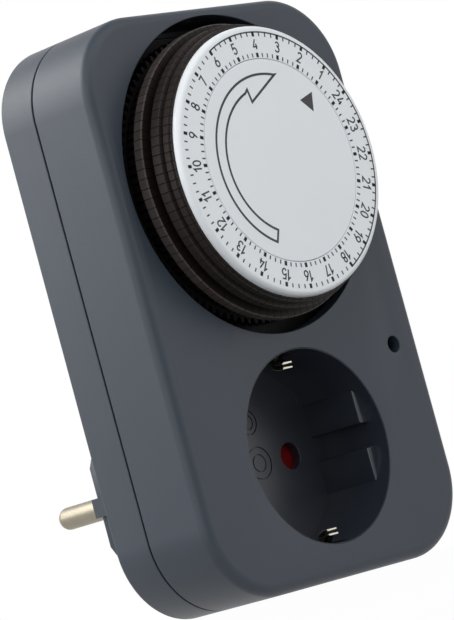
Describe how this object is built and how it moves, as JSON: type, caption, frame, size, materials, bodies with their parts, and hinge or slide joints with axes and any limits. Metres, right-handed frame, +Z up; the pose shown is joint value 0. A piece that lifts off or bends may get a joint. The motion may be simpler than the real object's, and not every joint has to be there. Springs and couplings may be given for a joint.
{
  "type": "plug-in timer switch",
  "caption": "Mechanical 24 hour plug-in timer switch with a plug and pins behind, an earthed socket in front, and a turning dial ringed by push-in switching segments.",
  "frame": {"origin": "centre of the plug face, halfway between the two pins", "axes": "+Y out along the plug pins into the wall socket, -Y toward the dial and socket, +Z up, +X right seen from the dial"},
  "size_m": [0.075, 0.0791, 0.1193],
  "materials": {
    "casing_plastic": "fine matte texture, anthracite",
    "screw_steel": "zinc plated",
    "black_screw": "blackened",
    "socket_plastic": "semi-gloss black",
    "shutter_plastic": "semi-gloss red",
    "spring_steel": "bright",
    "contact_brass": "satin",
    "carrier_plastic": "satin ivory",
    "earth_metal": "bright nickel plating",
    "pin_metal": "satin nickel plating",
    "bus_copper": "satin copper",
    "plate_steel": "zinc plated",
    "post_steel": "turned",
    "drum_plastic": "satin dark brown",
    "dial_white": "satin white, printed",
    "lever_plastic": "natural",
    "block_plastic": "phenolic brown red",
    "can_steel": "zinc plated",
    "coil_tape": "amber tape",
    "lead_insulation": "insulated wire",
    "rotor_magnet": "ferrite",
    "gear_plastic": "natural",
    "segment_plastic": "satin dark brown"
  },
  "bodies": {
    "casing": {"front_shell": "casing_plastic", "rear_shell": "casing_plastic", "case_screws": "screw_steel", "front_screw": "black_screw", "socket_cup": "socket_plastic", "shutter_spring": "spring_steel", "shutter_cover": "socket_plastic", "contact_line": "contact_brass", "contact_neutral": "contact_brass", "contact_carrier": "carrier_plastic", "earth_bar": "contact_brass", "earth_clip_top": "earth_metal", "earth_clip_bottom": "earth_metal", "line_pin": "pin_metal", "neutral_pin": "pin_metal", "bus_line_in": "bus_copper", "bus_line_out": "bus_copper", "bus_neutral": "bus_copper", "mechanism_plate": "drum_plastic", "plate_screws": "screw_steel", "center_post": "post_steel", "dial_washer": "spring_steel", "center_disc": "dial_white", "lever_pin": "post_steel", "fixed_contact": "contact_brass", "switch_block": "block_plastic", "motor_can": "can_steel", "motor_coil": "coil_tape", "motor_leads": "lead_insulation", "gear_axles": "post_steel", "gear_cover": "plate_steel"},
    "dial": {"dial_drum": "drum_plastic", "number_ring": "dial_white"},
    "shutter_plate": {"shutter": "shutter_plastic"},
    "lever": {"switch_lever": "lever_plastic"},
    "leaf": {"contact_leaf": "contact_brass"},
    "rotor_body": {"rotor": "rotor_magnet"},
    "wheel_one_body": {"wheel_one": "gear_plastic"},
    "wheel_two_body": {"wheel_two": "gear_plastic"},
    "output_wheel_body": {"output_wheel": "gear_plastic"},
    "output_pinion_body": {"output_pinion": "drum_plastic"},
    "block_0_to_2h": {"segments_0_to_2h": "segment_plastic"},
    "block_2_to_4h": {"segments_2_to_4h": "segment_plastic"},
    "block_4_to_6h": {"segments_4_to_6h": "segment_plastic"},
    "block_6_to_8h": {"segments_6_to_8h": "segment_plastic"},
    "block_8_to_10h": {"segments_8_to_10h": "segment_plastic"},
    "block_10_to_12h": {"segments_10_to_12h": "segment_plastic"},
    "block_12_to_14h": {"segments_12_to_14h": "segment_plastic"},
    "block_14_to_16h": {"segments_14_to_16h": "segment_plastic"},
    "block_16_to_18h": {"segments_16_to_18h": "segment_plastic"},
    "block_18_to_20h": {"segments_18_to_20h": "segment_plastic"},
    "block_20_to_22h": {"segments_20_to_22h": "segment_plastic"},
    "block_22_to_24h": {"segments_22_to_24h": "segment_plastic"}
  },
  "joints": [
    {"name": "dial_turn", "type": "hinge", "parent": "casing", "child": "dial", "pos_m": [0, 0, 0.05705], "axis": [0, 1, 0], "continuous": true},
    {"name": "shutter_turn", "type": "hinge", "parent": "casing", "child": "shutter_plate", "pos_m": [0, 0, 0], "axis": [0, 1, 0], "range_deg": [0, 40], "stiffness_Nm_per_rad": 0.002, "springref_deg": -17.19},
    {"name": "lever_tilt", "type": "hinge", "parent": "casing", "child": "lever", "pos_m": [0.0184, -0.0362, 0.04864], "axis": [1, 0, 0], "range_deg": [0, 14.1]},
    {"name": "leaf_bend", "type": "hinge", "parent": "casing", "child": "leaf", "pos_m": [0.0184, -0.0338, 0.05364], "axis": [1, 0, 0], "range_deg": [0, 10.6]},
    {"name": "rotor_spin", "type": "hinge", "parent": "casing", "child": "rotor_body", "pos_m": [-0.01069, 0, 0.05263], "axis": [0, 1, 0], "continuous": true},
    {"name": "wheel_one_spin", "type": "hinge", "parent": "casing", "child": "wheel_one_body", "pos_m": [-0.00912, 0, 0.04369], "axis": [0, 1, 0], "continuous": true},
    {"name": "wheel_two_spin", "type": "hinge", "parent": "casing", "child": "wheel_two_body", "pos_m": [-0.01765, 0, 0.04058], "axis": [0, 1, 0], "continuous": true},
    {"name": "output_wheel_spin", "type": "hinge", "parent": "casing", "child": "output_wheel_body", "pos_m": [-0.02381, 0, 0.03324], "axis": [0, 1, 0], "continuous": true},
    {"name": "output_pinion_spin", "type": "hinge", "parent": "casing", "child": "output_pinion_body", "pos_m": [-0.02381, 0, 0.03324], "axis": [0, 1, 0], "continuous": true},
    {"name": "push_0_to_2h", "type": "slide", "parent": "dial", "child": "block_0_to_2h", "axis": [0, 1, 0], "range_m": [0, 0.003]},
    {"name": "push_2_to_4h", "type": "slide", "parent": "dial", "child": "block_2_to_4h", "axis": [0, 1, 0], "range_m": [0, 0.003]},
    {"name": "push_4_to_6h", "type": "slide", "parent": "dial", "child": "block_4_to_6h", "axis": [0, 1, 0], "range_m": [0, 0.003]},
    {"name": "push_6_to_8h", "type": "slide", "parent": "dial", "child": "block_6_to_8h", "axis": [0, 1, 0], "range_m": [0, 0.003]},
    {"name": "push_8_to_10h", "type": "slide", "parent": "dial", "child": "block_8_to_10h", "axis": [0, 1, 0], "range_m": [0, 0.003]},
    {"name": "push_10_to_12h", "type": "slide", "parent": "dial", "child": "block_10_to_12h", "axis": [0, 1, 0], "range_m": [0, 0.003]},
    {"name": "push_12_to_14h", "type": "slide", "parent": "dial", "child": "block_12_to_14h", "axis": [0, 1, 0], "range_m": [0, 0.003]},
    {"name": "push_14_to_16h", "type": "slide", "parent": "dial", "child": "block_14_to_16h", "axis": [0, 1, 0], "range_m": [0, 0.003]},
    {"name": "push_16_to_18h", "type": "slide", "parent": "dial", "child": "block_16_to_18h", "axis": [0, 1, 0], "range_m": [0, 0.003]},
    {"name": "push_18_to_20h", "type": "slide", "parent": "dial", "child": "block_18_to_20h", "axis": [0, 1, 0], "range_m": [0, 0.003]},
    {"name": "push_20_to_22h", "type": "slide", "parent": "dial", "child": "block_20_to_22h", "axis": [0, 1, 0], "range_m": [0, 0.003]},
    {"name": "push_22_to_24h", "type": "slide", "parent": "dial", "child": "block_22_to_24h", "axis": [0, 1, 0], "range_m": [0, 0.003]}
  ],
  "couplings": [
    {"joint": "output_pinion_spin", "follows": "dial_turn", "ratio": -8},
    {"joint": "wheel_one_spin", "follows": "rotor_spin", "ratio": -0.28571},
    {"joint": "wheel_two_spin", "follows": "rotor_spin", "ratio": 0.081633},
    {"joint": "output_wheel_spin", "follows": "rotor_spin", "ratio": -0.021769},
    {"joint": "lever_tilt", "follows": "push_18_to_20h", "rad_per_m": 81.449},
    {"joint": "leaf_bend", "follows": "push_18_to_20h", "rad_per_m": 61.087}
  ]
}
